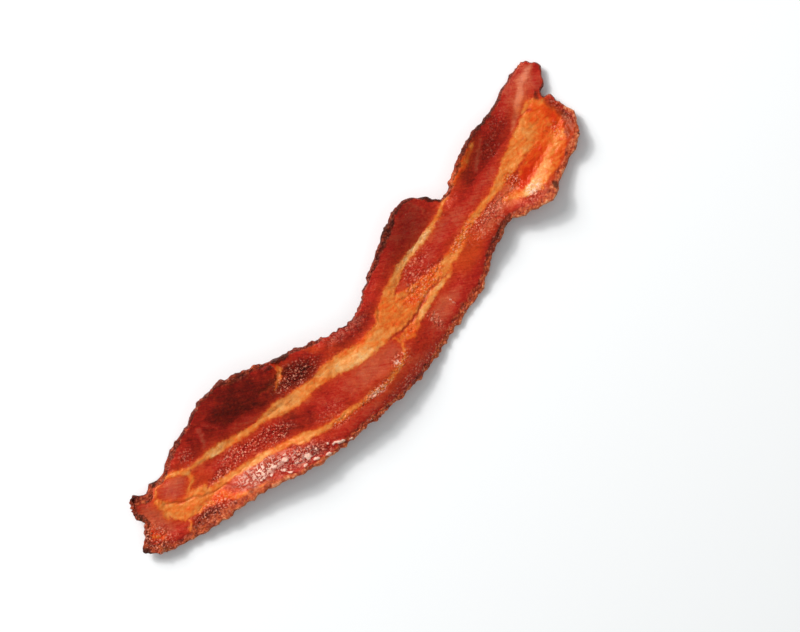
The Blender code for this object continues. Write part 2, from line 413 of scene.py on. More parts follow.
# Shiny blisters: raised in the relief, each with a painted highlight on it.
BLISTERS = (
    Spot(-48.8, -19.6, 1.3, 1.0, -20, 1.0),
    Spot(-51.5, -21.6, 1.6, 1.0, -50, 0.7),
    Spot(-47.0, -22.6, 1.0, 0.9, 0, 0.7),
    Spot(-43.2, -24.2, 1.6, 1.3, -30, 1.0),
    Spot(-42.0, -26.7, 1.4, 0.7, -20, 1.0),
    Spot(-38.6, -28.0, 1.3, 0.6, -20, 0.9),
    Spot(-35.0, -27.0, 0.9, 0.6, 0, 0.7),
    Spot(-33.0, -28.1, 2.1, 0.7, -32, 1.0),
    Spot(-40.2, -24.6, 1.0, 0.7, 20, 0.6),
    Spot(-54.8, -19.6, 1.5, 0.8, -20, 0.6),
    Spot(-45.6, -25.4, 0.9, 0.6, 10, 0.9),
    Spot(-50.2, -23.6, 1.1, 0.5, -40, 0.8),
    Spot(-36.2, -25.8, 0.7, 0.5, 0, 0.8),
    Spot(-30.2, -29.9, 1.0, 0.5, -10, 0.8),
    Spot(-57.5, -18.6, 1.8, 0.6, -16, 0.8),
    Spot(-52.6, -18.8, 0.9, 0.9, 0, 0.9),
    Spot(-47.6, -18.4, 0.8, 0.6, 0, 0.8),
    Spot(-22, -30.6, 0.8, 0.5, 0, 0.7),
    Spot(22.0, -25.6, 0.35, 2.4, 4, 0.62),
)
# Creases, as strokes too: (x, y, half width). They are sunk into the relief and painted darker brown,
# painted shade in the creases.
CREASE_EDGE = (-0.1, 0.4)  # a crease's fading edge, as distances from the stroke's own
CREASES = (
    ((-84, -0.6, 0.1), (-80, -3.5, 0.25), (-76, -5.9, 0.2), (-73, -8.2, 0.3), (-67, -10.5, 0.1)),
    ((-67, -10.9, 0.1), (-64.5, -14.4, 0.2), (-61.5, -19, 0.1)),
    ((2, -19.4, 0.1), (8, -20.2, 0.2), (12, -19.8, 0.2), (16, -18.2, 0.2), (25, -18.0, 0.1)),
    ((-38, 0.6, 0.2), (-33, -0.9, 0.4), (-29.4, 0.2, 0.4), (-27.0, 2.4, 0.2)),
    ((86.9, -5, 0.2), (87.2, -10, 0.5), (87.0, -15, 0.5), (84.5, -18.4, 0.2)),
    ((12, -13.4, 0.1), (16, -14.8, 0.2), (20, -14.4, 0.1)),
    ((2, -12.6, 0.1), (4, -10.8, 0.2), (5, -9.4, 0.1)),
)


def smooth_curve(knots):
    """A smooth function of x through the knots (cubic Hermite)."""
    xs, ys = np.array(knots, float).T
    slopes = np.gradient(ys, xs)

    def at(x):
        x = np.clip(x, xs[0], xs[-1])
        i = np.clip(np.searchsorted(xs, x) - 1, 0, len(xs) - 2)
        span = xs[i + 1] - xs[i]
        t = (x - xs[i]) / span
        rise = 3 * t**2 - 2 * t**3
        return (
            ys[i] * (1 - rise)
            + ys[i + 1] * rise
            + slopes[i] * span * t * (1 - t) ** 2
            - slopes[i + 1] * span * t**2 * (1 - t)
        )

    return at


def bumps_at(bumps, x):
    """The bumps' heights added up at x, each a raised cosine."""
    total = np.zeros_like(x)
    for bump in bumps:
        reach = np.where(x < bump.x, bump.before, bump.after)
        phase = np.clip((x - bump.x) / reach, -1, 1)
        total += bump.height * (1 + np.cos(np.pi * phase)) / 2
    return total


def curl_share(across, hinge):
    """How much of a curl's height is felt here: none inside the hinge, all at the edge."""
    return (np.clip((across - hinge) / (1 - hinge), 0, 1)) ** CURL_POWER


def end_shift(x, across):
    """How far a point moves along X, so that the two ends get their torn shapes."""
    low_x, high_x = NOMINAL_ENDS
    near_low = np.clip(1 - (x - low_x) / END_REACH, 0, 1) ** 2
    near_high = np.clip(1 - (high_x - x) / END_REACH, 0, 1) ** 2
    return near_low * (smooth_curve(LOW_X_END)(across) - low_x) + near_high * (
        smooth_curve(HIGH_X_END)(across) - high_x
    )


def middle_surface(x, across):
    """The strip's middle surface: arrays of x, y and z."""
    plus_y = smooth_curve(PLUS_Y_EDGE)(x)
    minus_y = smooth_curve(MINUS_Y_EDGE)(x)
    y = minus_y + (plus_y - minus_y) * (across + 1) / 2
    plus_y_hinge = np.interp(x, *zip(*PLUS_Y_HINGES))
    rise = (
        bumps_at(WAVES, x)
        + bumps_at(PLUS_Y_CURLS, x) * curl_share(across, plus_y_hinge)
        + bumps_at(MINUS_Y_CURLS, x) * curl_share(-across, MINUS_Y_HINGE)
    )
    return x + end_shift(x, across), y, np.maximum(rise, 0) + THICKNESS / 2


def graded(cells):
    """Places from 0 to 1, closer together near both ends."""
    index = np.arange(cells)
    from_end = np.minimum(index, cells - 1 - index)
    step = np.minimum(1, EDGE_STEP + (1 - EDGE_STEP) * from_end / EDGE_CELLS)
    return np.concatenate([[0], np.cumsum(step)]) / step.sum()


def smooth_step(low, high, value):
    t = np.clip((value - low) / (high - low), 0, 1)
    return t * t * (3 - 2 * t)


def noise_at(x, y, size, seed):
    """Smooth noise from about -1 to 1. size is a feature's width, or (along x, along y)."""
    size_x, size_y = size if isinstance(size, tuple) else (size, size)
    places = zip((x / size_x).flat, (y / size_y).flat)
    return np.array([noise.noise(Vector((a, b, seed))) for a, b in places]).reshape(x.shape)


LOT_DIRECTION = np.array([12.9898, 78.233, 37.719])  # uneven numbers that turn a place into a lot
LOT_SCALE = 43758.5453
CRUMB_BEND = 0.3  # how far crumbs are bent out of true, and the size of the bends, in crumbs
CRUMB_BEND_SIZE = 1.3
CRUMB_SEED = 9
CRUMB_BEND_SEEDS = (59, 60)
CRUMB_ROUNDING = 0.55


def crumbs_at(x, y):
    """Rounded crumbs: 1 on a crumb's top and 0 between two, with a random share for each crumb."""
    size = CRUMBS.size
    bend_x, bend_y = (
        CRUMB_BEND * size * noise_at(x, y, CRUMB_BEND_SIZE * size, seed) for seed in CRUMB_BEND_SEEDS
    )
    places = zip(((x + bend_x) / size).flat, ((y + bend_y) / size).flat)
    found = [noise.voronoi(Vector((a, b, CRUMB_SEED))) for a, b in places]
    gaps = np.array([gap[:2] for gap, _ in found])
    owners = np.array([point[0] for _, point in found])
    lot = np.sin(owners @ LOT_DIRECTION) * LOT_SCALE
    top = smooth_step(0, CRUMB_ROUNDING, gaps[:, 1] - gaps[:, 0])
    return top.reshape(x.shape), (lot - np.floor(lot)).reshape(x.shape)


OCTAVE_SHARES = (0.55, 0.3, 0.15)
OCTAVE_STEP = 1.9  # each octave's lumps are this much smaller than the last's
BILLOW_GAIN = 2.2


def billows_at(x, y, size, seed):
    """Uneven rounded lumps of several sizes, from about 0 in their creases to 1."""
    total = np.zeros_like(x)
    for octave, share in enumerate(OCTAVE_SHARES):
        total += share * np.abs(noise_at(x, y, size / OCTAVE_STEP**octave, seed + octave))
    return np.minimum(total * BILLOW_GAIN, 1)


def stroke_distance(x, y, stroke):
    """Distance from each point to a stroke's edge, negative inside it."""
    nearest = np.full(x.shape, np.inf)
    for (ax, ay, a_half), (bx, by, b_half) in zip(stroke, stroke[1:]):
        dx, dy = bx - ax, by - ay
        share = np.clip(((x - ax) * dx + (y - ay) * dy) / (dx**2 + dy**2), 0, 1)
        gap = np.hypot(x - ax - share * dx, y - ay - share * dy)
        nearest = np.minimum(nearest, gap - a_half - share * (b_half - a_half))
    return nearest


def strokes_distance(x, y, strokes):
    return np.min([stroke_distance(x, y, stroke) for stroke in strokes], axis=0)


def spots_at(x, y, spots):
    """The spots' amounts added up, each fading out from its middle."""
    total = np.zeros_like(x)
    for spot in spots:
        turn = math.radians(spot.turn)
        u = ((x - spot.x) * math.cos(turn) + (y - spot.y) * math.sin(turn)) / spot.long
        v = ((y - spot.y) * math.cos(turn) - (x - spot.x) * math.sin(turn)) / spot.wide
        total += spot.amount * (1 - smooth_step(*SPOT_FADE, np.hypot(u, v)))
    return total


Sheet = namedtuple("Sheet", "x y z normal rim outward_x outward_y")


def sheet(cells_along, cells_across):
    """The middle surface on a grid, with each point's normal and its distance from the rim."""
    low_x, high_x = NOMINAL_ENDS
    along = graded(cells_along)
    across = 2 * graded(cells_across) - 1
    flat_x, t = np.meshgrid(low_x + (high_x - low_x) * along, across, indexing="ij")
    x, y, z = middle_surface(flat_x, t)
    half_width = (smooth_curve(PLUS_Y_EDGE)(flat_x) - smooth_curve(MINUS_Y_EDGE)(flat_x)) / 2
    from_edge = half_width * (1 - np.abs(t))
    from_end = np.minimum(x - x[:1], x[-1:] - x)
    x, y, from_edge, from_end = round_corners(x, y, from_edge, from_end, np.sign(t))
    normal = grid_normals(x, y, z)
    rim = np.hypot(*[np.maximum(CORNER_RADIUS - d, 0) for d in (from_edge, from_end)])
    rim = np.where(rim > 0, CORNER_RADIUS - rim, np.minimum(from_edge, from_end))
    rim = np.maximum(rim, 0)
    return Sheet(x, y, z, normal, rim, *steepest_fall(rim, x, y))


def steepest_fall(value, x, y):
    """The plan direction, of length 1 or less, in which a grid's value falls fastest."""
    (x_a, x_b), (y_a, y_b), (v_a, v_b) = (np.gradient(field) for field in (x, y, value))
    turn = x_a * y_b - x_b * y_a
    sign = np.where(turn < 0, -1, 1)
    down_x, down_y = -(v_a * y_b - v_b * y_a) * sign, -(v_b * x_a - v_a * x_b) * sign
    length = np.maximum(np.hypot(down_x, down_y), 1e-3)
    return down_x / length, down_y / length


def round_corners(x, y, from_edge, from_end, side):
    """Turns the grid's square corners into quarter circles."""
    u = np.maximum(CORNER_RADIUS - from_end, 0)
    v = np.maximum(CORNER_RADIUS - from_edge, 0)
    length = np.maximum(np.hypot(u, v), 1e-9)
    pull = 1 - np.maximum(u, v) / length
    toward_low = np.where(x < sum(NOMINAL_ENDS) / 2, 1, -1)
    return (
        x + toward_low * u * pull,
        y - side * v * pull,
        from_edge + v * pull,
        from_end + u * pull,
    )


def grid_normals(x, y, z):
    place = np.stack([x, y, z], axis=-1)
    normal = np.cross(np.gradient(place, axis=0), np.gradient(place, axis=1))
    return normal / np.maximum(np.linalg.norm(normal, axis=-1, keepdims=True), 1e-9)


def ragged_outline(s):
    """Pushes the rim out in rounded crumbs with sharp notches between them."""
    push = np.zeros_like(s.x)
    for size, reach, seed in RAGS:
        push += reach * (np.abs(noise_at(s.x, s.y, size, seed)) - RAGS_LEVEL)
    push *= np.exp(-s.rim / RAGS_REACH)
    return s._replace(x=s.x + s.outward_x * push, y=s.y + s.outward_y * push)


def crust_fields(s, minus_side):
    """The crumbly crust along the rims. minus_side is 1 by the -Y rim and 0 by the +Y rim."""
    width, tone = (
        plus + (minus - plus) * minus_side for plus, minus in zip(PLUS_Y_CRUST, MINUS_Y_CRUST)
    )
    width = np.maximum(width + spots_at(s.x, s.y, CRUST_WIDTH_SPOTS), LEAST_CRUST)
    rim = s.rim + CRUST_WAVER.height * width * noise_at(s.x, s.y, CRUST_WAVER.size, 8)
    top, lot = crumbs_at(s.x, s.y)
    tone = tone + spots_at(s.x, s.y, CRUST_TONE_SPOTS)
    # Painted shade between the crumbs.
    tone += CRUMB_SPREAD * (lot - 0.5) - CRUMB_GAP_SHADE * (1 - top)
    return {
        "crust": 1 - smooth_step(CRUST_EDGE * width, width, rim),
        # Painted light along the -Y rim.
        "crust_tone": tone + RIM_LIGHT_LIFT * minus_side * np.exp(-s.rim / RIM_LIGHT_LIFT_WIDTH),
        "crumb": top,
    }


def fields(s):
    """What the flesh is at each point: the attributes that shape and material both read."""
    bend_x = sum(wave.reach_x * noise_at(s.x, s.y, wave.size, wave.seed_x) for wave in WAVERS)
    bend_y = sum(wave.reach_y * noise_at(s.x, s.y, wave.size, wave.seed_y) for wave in WAVERS)
    x, y = s.x + bend_x, s.y + bend_y
    minus_side = smooth_step(*CRUST_TURNS, s.y)
    fat_edge = strokes_distance(x, y, FAT.values())
    softness = FAT_SOFTNESS + spots_at(x, y, SOFTNESS_SPOTS)
    pale = 1 - smooth_step(*PALE_EDGE, strokes_distance(x, y, PALE_LEAN))
    char = RIM_CHAR * (1 - minus_side) * np.exp(-s.rim / RIM_CHAR_WIDTH)
    return {
        "fat": 1 - smooth_step(-1, 1, fat_edge / softness),
        "fringe": np.exp(-np.maximum(fat_edge, 0) / (0.5 + softness)),
        "lean_tone": LEAN_TONE + spots_at(x, y, LEAN_SPOTS) + PALE_AMOUNT * pale,
        "fat_amber": FAT_AMBER + spots_at(x, y, AMBER_SPOTS),
        "stain": spots_at(x, y, STAIN_SPOTS),
        "burn": spots_at(x, y, BURN_SPOTS) + char,
        "grain": spots_at(x, y, GRAIN_SPOTS),
        "film": spots_at(x, y, PAINTED_SHEEN_SPOTS),
        "blister": np.minimum(spots_at(s.x + 0.5 * bend_x, s.y + 0.5 * bend_y, BLISTERS), 1),
        "crease": 1 - smooth_step(*CREASE_EDGE, strokes_distance(x, y, CREASES)),
        **crust_fields(s, minus_side),
    }


def underside_fields(s):
    """The same marbling, a little browner and without what glistens."""
    found = fields(s)
    found["lean_tone"] += UNDERSIDE_LEAN
    found["fat_amber"] += UNDERSIDE_AMBER
    for name in ("film", "blister"):
        found[name] = np.zeros_like(s.x)
    return found


def relief(s, found, seed):
    """How far the surface stands out from the smooth sheet, in millimetres."""
    fat = found["fat"]
    wrinkles = billows_at(s.x, s.y, WRINKLES.size, seed + 1) - WRINKLES_LEVEL
    return (
        LUMPS.height * noise_at(s.x, s.y, LUMPS.size, seed)
        + fat * (FAT_RISE + WRINKLES.height * wrinkles)
        + (1 - fat) * FIBRES.height * noise_at(s.x, s.y, FIBRES.size, seed + 5)
        + found["crust"] * CRUMBS.height * (found["crumb"] - CRUMBS_LEVEL)
        + np.minimum(found["grain"], 1) * GRAINS.height * billows_at(s.x, s.y, GRAINS.size, seed + 8)
        + BLISTER_HEIGHT * found["blister"]
        - CREASE_DEPTH * found["crease"]
    )


def skin_points(s, found, side, seed):
    """The top (side 1) or the underside (side -1): the sheet, thickened, rounded at its rim."""
    depth = 1 - np.clip(s.rim / RIM_RADIUS, 0, 1)
    taper = RIM_SHARE + (1 - RIM_SHARE) * smooth_step(0, TAPER_REACH, s.rim)
    half = THICKNESS / 2 * taper * np.sqrt(np.maximum(1 - depth**2, 0))
    offset = half + relief(s, found, seed) * smooth_step(0, RELIEF_REACH, s.rim)
    place = np.stack([s.x, s.y, s.z], axis=-1)
    return place + side * s.normal * offset[..., None]


def grid_faces(rows, columns, start):
    index = start + np.arange(rows * columns).reshape(rows, columns)
    return np.stack(
        [index[:-1, :-1], index[1:, :-1], index[1:, 1:], index[:-1, 1:]], axis=-1
    ).reshape(-1, 4)


def rim_loop(rows, columns, start):
    """The indices round a grid's border, anticlockwise seen from above, from its first corner."""
    index = start + np.arange(rows * columns).reshape(rows, columns)
    return np.concatenate([index[:-1, 0], index[-1, :-1], index[:0:-1, -1], index[0, :0:-1]])


def band_faces(fine, coarse):
    """Joins a fine border to one with half as many points."""
    faces = []
    for k, low in enumerate(coarse):
        next_low = coarse[(k + 1) % len(coarse)]
        a, b, c = fine[2 * k], fine[2 * k + 1], fine[(2 * k + 2) % len(fine)]
        faces += [(a, low, b), (b, low, next_low), (b, next_low, c)]
    return faces


def add_bake_map(mesh, plan, skirt):
    """A UV map in six tiles: three lengths of the strip, with the top of each beside its underside.

    plan is each vertex's plan place. skirt is how far a vertex of the underside's border moves out
    where a face of the rim shows it beside the top; it is 0 for the top's own vertices.
    """
    vertex = np.empty(len(mesh.loops), int)
    mesh.loops.foreach_get("vertex_index", vertex)
    corners = np.empty(len(mesh.polygons), int)
    mesh.polygons.foreach_get("loop_total", corners)
    face = np.repeat(np.arange(len(corners)), corners)
    is_top = (np.bincount(face, ~skirt.any(axis=1)[vertex]) > 0)[face]
    place = plan[vertex] + skirt[vertex] * is_top[:, None]
    low_x, high_x = plan[:, 0].min(), plan[:, 0].max()
    middle = np.bincount(face, place[:, 0]) / corners
    length = (BAKE_LENGTHS * (middle - low_x) / (high_x - low_x)).astype(int)
    length = np.clip(length, 0, BAKE_LENGTHS - 1)[face]
    uv = np.empty((len(vertex), 2))
    for k in range(BAKE_LENGTHS):
        chosen = length == k
        centre = (place[chosen].min(axis=0) + place[chosen].max(axis=0)) / 2
        uv[chosen] = (place[chosen] - centre) * BAKE_SCALE
    uv[:, 0] = np.where(is_top, 0.25 + uv[:, 0], 0.75 - uv[:, 0])
    uv[:, 1] += (length + 0.5) / BAKE_LENGTHS
    mesh.uv_layers.new(name="OFBake").data.foreach_set("uv", uv.ravel())


def skin_mesh():
    top = ragged_outline(sheet(ALONG, ACROSS))
    under = ragged_outline(sheet(ALONG // 2, ACROSS // 2))
    top_fields, under_fields = fields(top), underside_fields(under)
    top_points = skin_points(top, top_fields, 1, TOP_SEED)
    under_points = skin_points(under, under_fields, -1, UNDERSIDE_SEED)
    sink_rim(under_points, under.normal)
    rows, columns = top.x.shape
    low_rows, low_columns = under.x.shape
    start = rows * columns
    points = np.concatenate([top_points.reshape(-1, 3), under_points.reshape(-1, 3)])
    faces = [tuple(f) for f in grid_faces(rows, columns, 0)]
    faces += [tuple(f[::-1]) for f in grid_faces(low_rows, low_columns, start)]
    faces += band_faces(rim_loop(rows, columns, 0), rim_loop(low_rows, low_columns, start))
    mesh = bpy.data.meshes.new("fried_strip")
    mesh.from_pydata(place_in_frame(points).tolist(), [], faces)
    mesh.update()
    for name in top_fields:
        values = np.concatenate([top_fields[name].ravel(), under_fields[name].ravel()])
        mesh.attributes.new(name, "FLOAT", "POINT").data.foreach_set("value", values)
    plan = [np.stack([s.x.ravel(), s.y.ravel()], axis=-1) for s in (top, under)]
    outward = np.stack([under.outward_x.ravel(), under.outward_y.ravel()], axis=-1)
    skirt = [np.zeros_like(plan[0]), RIM_DROP * outward]
    add_bake_map(mesh, np.concatenate(plan), np.concatenate(skirt))
    mesh.shade_smooth()
    return mesh


def sink_rim(points, normal):
    """Lowers the underside's border a little below the top's, for a round rim."""
    border = np.ones(points.shape[:2], bool)
    border[1:-1, 1:-1] = False
    points[border] -= RIM_DROP * normal[border]


def plan_shift():
    """How far the plan's millimetres move, so that the smooth sheet's box lies on the CAD node's."""
    s = sheet(ALONG // 4, ACROSS // 4)
    low, high = (np.array(corner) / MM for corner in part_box(NODE))
    return np.array([
        (low[0] + high[0]) / 2 - (s.x.min() + s.x.max()) / 2,
        (low[1] + high[1]) / 2 - (s.y.min() + s.y.max()) / 2,
        0,
    ])


def place_in_frame(points):
    placed = points + plan_shift()
    placed[:, 2] = np.maximum(placed[:, 2], 0)
    return placed * MM


def linear(red, green, blue):
    """An 8-bit display colour as the linear one that a shader takes."""
    def channel(value):
        share = value / 255
        return share / 12.92 if share <= 0.04045 else ((share + 0.055) / 1.055) ** 2.4

    return (channel(red), channel(green), channel(blue), 1.0)


class Graph:
    """Short calls that add a node to a material and return its output."""

    def __init__(self, name):
        self.material = bpy.data.materials.new(name)
        self.material.use_nodes = True
        self.tree = self.material.node_tree
        self.shader = self.tree.nodes["Principled BSDF"]

    def put(self, socket, value):
        if isinstance(value, bpy.types.NodeSocket):
            self.tree.links.new(value, socket)
        else:
            socket.default_value = value

    def node(self, kind, **settings):
        made = self.tree.nodes.new(kind)
        for name, value in settings.items():
            setattr(made, name, value)
        return made

    def attribute(self, name):
        return self.node("ShaderNodeAttribute", attribute_name=name).outputs["Fac"]

    def maths(self, operation, a, b=0.0, c=0.0, clamp=False):
        made = self.node("ShaderNodeMath", operation=operation, use_clamp=clamp)
        for socket, value in zip(made.inputs, (a, b, c)):
            self.put(socket, value)
        return made.outputs[0]

    def ease(self, value, low, high, to_low=0.0, to_high=1.0):
        made = self.node("ShaderNodeMapRange", interpolation_type="SMOOTHSTEP")
        for name, setting in zip(
            ("Value", "From Min", "From Max", "To Min", "To Max"), (value, low, high, to_low, to_high)
        ):
            self.put(made.inputs[name], setting)
        return made.outputs[0]

    def place(self, size=(1, 1, 1), turn=0):
        """Object coordinates in lots of a size in millimetres, turned about Z in degrees."""
        made = self.node("ShaderNodeMapping", vector_type="TEXTURE")
        self.put(made.inputs["Vector"], self.node("ShaderNodeTexCoord").outputs["Object"])
        made.inputs["Rotation"].default_value = (0, 0, math.radians(turn))
        made.inputs["Scale"].default_value = [s * MM for s in size]
        return made.outputs[0]

    def noise(self, name):
        """One of NOISES, from 0 to 1."""
        settings = NOISES[name]
        made = self.node("ShaderNodeTexNoise")
        self.put(made.inputs["Vector"], self.place(settings.cell, settings.turn))
        made.inputs["Scale"].default_value = settings.scale
        made.inputs["Detail"].default_value = settings.detail
        made.inputs["Roughness"].default_value = settings.roughness
        made.inputs["Distortion"].default_value = settings.distortion
        return made.outputs["Fac"]

    def swing(self, name):
        """One of NOISES about zero, from -0.5 to 0.5."""
        return self.maths("SUBTRACT", self.noise(name), 0.5)

    def add(self, value, *shares):
        """A value with shares of others added to it, each an output and its share."""
        for other, share in shares:
            value = self.maths("MULTIPLY_ADD", other, share, value)
        return value

    def ramp(self, value, stops):
        made = self.node("ShaderNodeValToRGB")
        self.put(made.inputs["Fac"], value)
        elements = made.color_ramp.elements
        while len(elements) < len(stops):
            elements.new(0.5)
        for element, (place, colour) in zip(elements, stops):
            element.position = place
            element.color = linear(*colour)
        return made.outputs["Color"]

    def mix(self, share, a, b):
        made = self.node("ShaderNodeMix", data_type="RGBA")
        self.put(made.inputs["Factor"], share)
        self.put(made.inputs[6], a)
        self.put(made.inputs[7], b)
        return made.outputs[2]

    def bump(self, height, distance, normal=None):
        made = self.node("ShaderNodeBump")
        made.inputs["Distance"].default_value = distance * MM
        made.inputs["Strength"].default_value = 1.0
        self.put(made.inputs["Height"], height)
        if normal is not None:
            self.put(made.inputs["Normal"], normal)
        return made.outputs["Normal"]


# Noise over the flesh: a cell's size (along, across, up) and its turn in degrees, then the noise's
# own scale, detail, roughness and distortion.
Noise = namedtuple("Noise", "cell turn scale detail roughness distortion")
CUBE = (1, 1, 1)
NOISES = {
    "fine": Noise(CUBE, 0, 1.2, 4.0, 0.62, 0.0),
    "broad": Noise(CUBE, 0, 0.19, 3.0, 0.55, 0.0),
    "blotch": Noise(CUBE, 0, 0.45, 4.0, 0.6, 0.6),
    "hairs": Noise((3.2, 0.45, 2), -38, 1.0, 2.0, 0.5, 0.3),
    "threads": Noise((0.7, 2.6, 2), 0, 1.0, 3.0, 0.6, 0.5),
    "bands": Noise((5.0, 0.9, 2), -12, 1.0, 3.0, 0.6, 0.4),
    "fibres along": Noise((1.8, 0.6, 2), -14, 1.0, 2.0, 0.5, 0.6),
    "fibres across": Noise((0.7, 1.5, 2), -14, 1.0, 2.0, 0.5, 0.6),
    "clusters": Noise(CUBE, 0, 0.5, 2.0, 0.5, 0.0),
    "specks": Noise(CUBE, 0, 1.7, 1.0, 0.5, 0.0),
}
# Colours as (place on the scale, 8-bit display colour).
LEAN_COLOURS = (
    (0.0, (56, 4, 6)),
    (0.25, (118, 10, 9)),
    (0.5, (170, 26, 20)),
    (0.75, (180, 74, 54)),
    (1.0, (212, 122, 96)),
)
STAINED_COLOURS = (
    (0.0, (92, 24, 8)),
    (0.5, (188, 56, 18)),
    (1.0, (218, 108, 54)),
)
FAT_COLOURS = (
    (0.0, (230, 176, 114)),
    (0.25, (222, 143, 74)),
    (0.5, (214, 112, 42)),
    (0.75, (212, 74, 14)),
    (1.0, (196, 40, 4)),
)
CRUST_COLOURS = (
    (0.0, (44, 16, 16)),
    (0.3, (98, 32, 24)),
    (0.55, (154, 52, 26)),
    (0.8, (202, 98, 54)),
    (1.0, (234, 160, 114)),
)
CHAR = (46, 12, 8)
CREASE_SHADE_BROWN = (140, 48, 16)
# Painted highlights: the cream of the painted sheen and the pink of the painted glints.
PAINTED_SHEEN_CREAM = (244, 206, 184)
GLINT_PINK = (240, 152, 124)
GLINT_SCALE = 1.2
GLINT_LEAST = 0.12  # the smallest glint, and how much larger the largest is
GLINT_SPREAD = 0.42
BASE_STAIN = 0.06
CRUST_GRAIN = 0.25
CRUST_COVER = 0.88  # how far each coat hides what is under it
SHINE_COVER = 0.85
CHAR_COVER = 0.85
CREASE_SHADE_COVER = 0.4
ROUGHNESS = 0.31
LEAST_ROUGHNESS = 0.14
FLESH_SHADER = {
    "Specular IOR Level": 0.34,
    "Specular Tint": (1.0, 0.55, 0.36, 1.0),
    "Subsurface Weight": 0.12,
    "Subsurface Radius": (1.0, 0.3, 0.12),
    "Subsurface Scale": 1.2 * MM,
}


def glints(g):
    """Painted glints: scattered pale points painted on the tops of small grains as highlights, and
    the distance from a grain's middle.
    """
    made = g.node("ShaderNodeTexVoronoi", feature="F1")
    g.put(made.inputs["Vector"], g.place())
    made.inputs["Scale"].default_value = GLINT_SCALE
    lots = g.node("ShaderNodeSeparateColor")
    g.put(lots.inputs[0], made.outputs["Color"])
    size = g.maths("MULTIPLY_ADD", lots.outputs[0], GLINT_SPREAD, GLINT_LEAST)
    point = g.ease(g.maths("SUBTRACT", made.outputs["Distance"], size), -0.1, 0.12, 1.0, 0.0)
    point = g.maths("MULTIPLY", point, g.ease(lots.outputs[1], 0.3, 0.7))
    clusters = g.ease(g.noise("clusters"), 0.38, 0.56)
    specks = g.ease(g.noise("specks"), 0.6, 0.7)
    return g.maths("MAXIMUM", g.maths("MULTIPLY", point, clusters), specks), made.outputs["Distance"]


def weave(g):
    """Short fibres along and across the strip, the pattern of the painted sheen."""
    fibres = g.maths("MAXIMUM", g.noise("fibres along"), g.noise("fibres across"))
    return g.ease(fibres, 0.54, 0.61)


def shared_patterns(g):
    """What several of the looks below read."""
    p = SimpleNamespace(fat=g.attribute("fat"), crust=g.attribute("crust"))
    for name in ("fine", "broad", "blotch", "hairs", "threads", "bands"):
        setattr(p, name, g.swing(name))
    p.lean = g.maths("SUBTRACT", 1.0, p.fat)
    # points is the mask of the painted glints.
    p.points, p.distance = glints(g)
    crust_grain = g.maths("MULTIPLY", p.crust, CRUST_GRAIN)
    p.grain = g.maths("ADD", g.attribute("grain"), crust_grain, clamp=True)
    # Painted shade: the gaps between the grains, where the lean is painted darker and the fat a
    # deeper orange.
    p.gaps = g.maths("MULTIPLY", g.ease(p.distance, 0.35, 0.65), p.grain)
    # The blisters' painted highlight, joined to the painted sheen.
    blister = g.ease(g.add(g.attribute("blister"), (p.fine, 2.2)), 0.4, 0.8, 0.0, 0.9)
    p.film = g.maths("MAXIMUM", g.maths("MULTIPLY", g.attribute("film"), weave(g)), blister)
    return p


def lean_colour(g, p):
    tone = g.add(
        g.attribute("lean_tone"),
        (p.broad, 0.42), (p.gaps, -0.12), (p.blotch, 0.26), (p.hairs, 0.4), (p.threads, 0.16),
        (p.fine, 0.14),
    )
    fringe = g.maths("MULTIPLY", g.attribute("fringe"), p.lean)
    stain = g.add(g.attribute("stain"), (p.blotch, 0.8), (fringe, 0.75))
    stain = g.maths("ADD", stain, BASE_STAIN, clamp=True)
    return g.mix(stain, g.ramp(tone, LEAN_COLOURS), g.ramp(tone, STAINED_COLOURS))


def with_fat(g, p, colour):
    amber = g.add(
        g.attribute("fat_amber"),
        (p.blotch, 0.9), (p.fine, 0.36), (p.gaps, 0.22), (p.bands, 0.5), (p.lean, 0.3),
    )
    share = g.ease(g.add(p.fat, (p.fine, 1.7)), 0.02, 0.98)
    return g.mix(share, colour, g.ramp(amber, FAT_COLOURS))


def with_crust(g, p, colour):
    toast = g.add(g.attribute("crust_tone"), (p.fine, 0.7), (p.blotch, 0.9))
    share = g.ease(g.add(p.crust, (p.fine, 1.0)), 0.2, 0.75)
    return g.mix(g.maths("MULTIPLY", share, CRUST_COVER), colour, g.ramp(toast, CRUST_COLOURS))


def with_shine(g, p, colour):
    """Painted highlights: pale glint points on the grain, and the painted whitish sheen over fibres
    and blisters.
    """
    points = g.maths("MULTIPLY", p.points, p.grain)
    colour = g.mix(g.maths("MULTIPLY", points, SHINE_COVER), colour, linear(*GLINT_PINK))
    film = g.maths("MULTIPLY", p.film, SHINE_COVER, clamp=True)
    return g.mix(film, colour, linear(*PAINTED_SHEEN_CREAM))


def with_burns(g, p, colour):
    """Char, and painted shade in the creases."""
    burn = g.ease(g.add(g.attribute("burn"), (p.fine, 1.3)), 0.15, 0.8)
    colour = g.mix(g.maths("MULTIPLY", burn, CHAR_COVER), colour, linear(*CHAR))
    crease = g.maths("MULTIPLY", g.attribute("crease"), CREASE_SHADE_COVER)
    return g.mix(crease, colour, linear(*CREASE_SHADE_BROWN))


def roughness(g, p):
    wet = g.maths("MAXIMUM", p.grain, p.film)
    dull = g.maths("MULTIPLY_ADD", p.fine, 0.5, ROUGHNESS)
    return g.maths("MAXIMUM", g.add(dull, (p.crust, 0.14), (wet, -0.12)), LEAST_ROUGHNESS)


def fine_relief(g, p):
    """Grains, threads and a fine unevenness, as bumps one on another."""
    normal = g.bump(g.maths("MULTIPLY", p.distance, p.grain), -0.34)
    normal = g.bump(g.maths("MULTIPLY", p.threads, p.lean), 0.2, normal)
    rugged = g.maths("MULTIPLY_ADD", g.maths("MAXIMUM", p.grain, p.crust), 0.9, 0.11)
    normal = g.bump(g.maths("MULTIPLY", p.fine, rugged), 0.6, normal)
    return g.bump(p.blotch, 0.3, normal)


